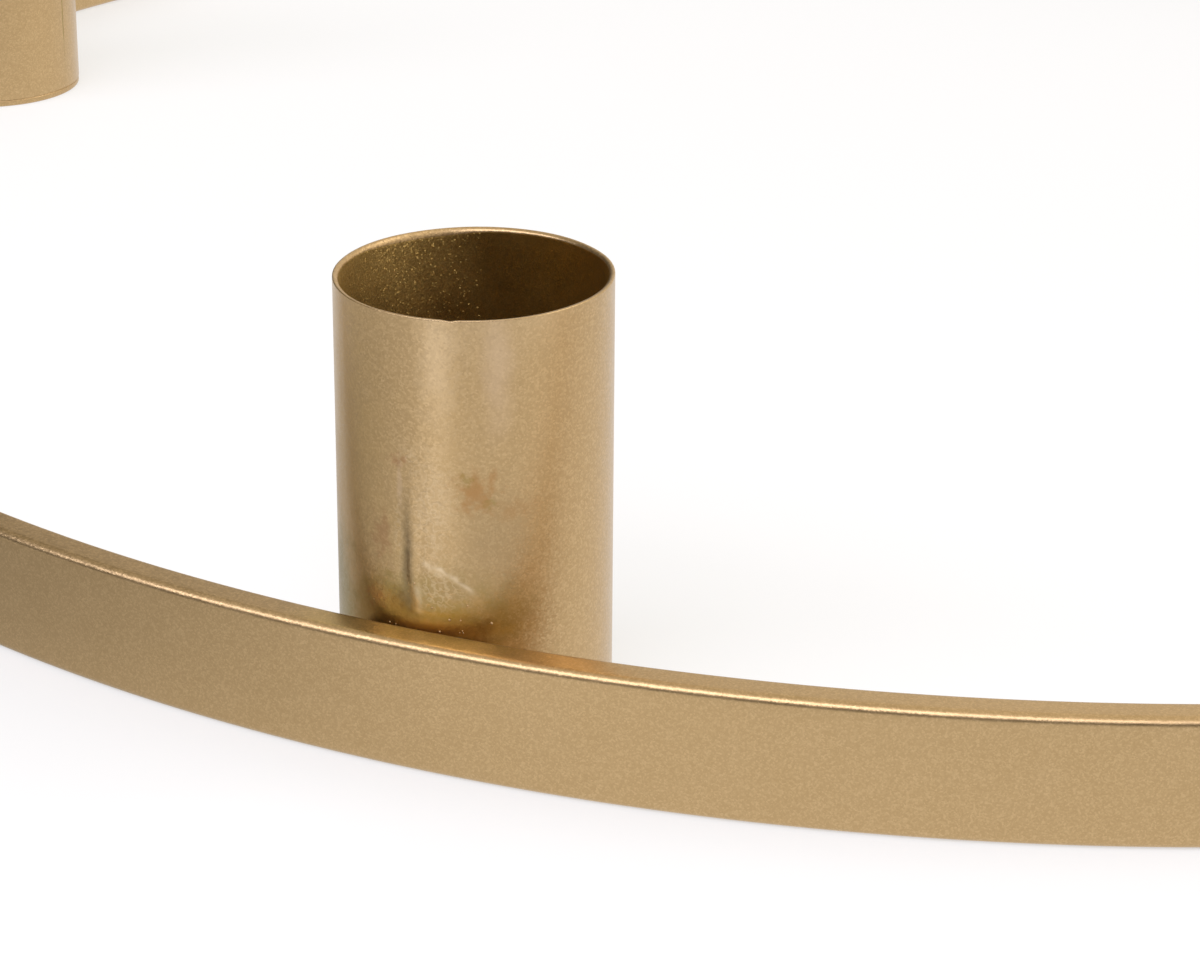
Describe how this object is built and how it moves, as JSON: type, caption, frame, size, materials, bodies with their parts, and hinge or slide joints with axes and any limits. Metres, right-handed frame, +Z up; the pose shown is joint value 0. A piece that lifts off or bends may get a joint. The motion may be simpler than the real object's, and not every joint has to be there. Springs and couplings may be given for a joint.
{
  "type": "candle ring",
  "caption": "Table candle ring: a flat bar rolled on edge into a hoop, with thin tubular candle cups brazed to its inside, in satin gold paint.",
  "frame": {"origin": "centre of the hoop, on the plane that it stands on", "axes": "+Z up along the hoop's axis; the first candle cup lies towards -Y, the others follow counter-clockwise seen from above"},
  "size_m": [0.32, 0.32, 0.04],
  "materials": {
    "gold_paint": "satin metallic paint with fine flake",
    "braze": "brass filler, browned by heat and thinly painted over"
  },
  "bodies": {
    "root": {"ring_bar": "gold_paint", "ring_butt_weld": "gold_paint", "cup_sleeve_1": "gold_paint", "cup_sleeve_2": "gold_paint", "cup_sleeve_3": "gold_paint", "cup_sleeve_4": "gold_paint", "cup_seam_weld_1": "gold_paint", "cup_seam_weld_2": "gold_paint", "cup_seam_weld_3": "gold_paint", "cup_seam_weld_4": "gold_paint", "cup_base_1": "gold_paint", "cup_base_2": "gold_paint", "cup_base_3": "gold_paint", "cup_base_4": "gold_paint", "cup_braze_1": "braze", "cup_braze_2": "braze", "cup_braze_3": "braze", "cup_braze_4": "braze"}
  },
  "joints": []
}
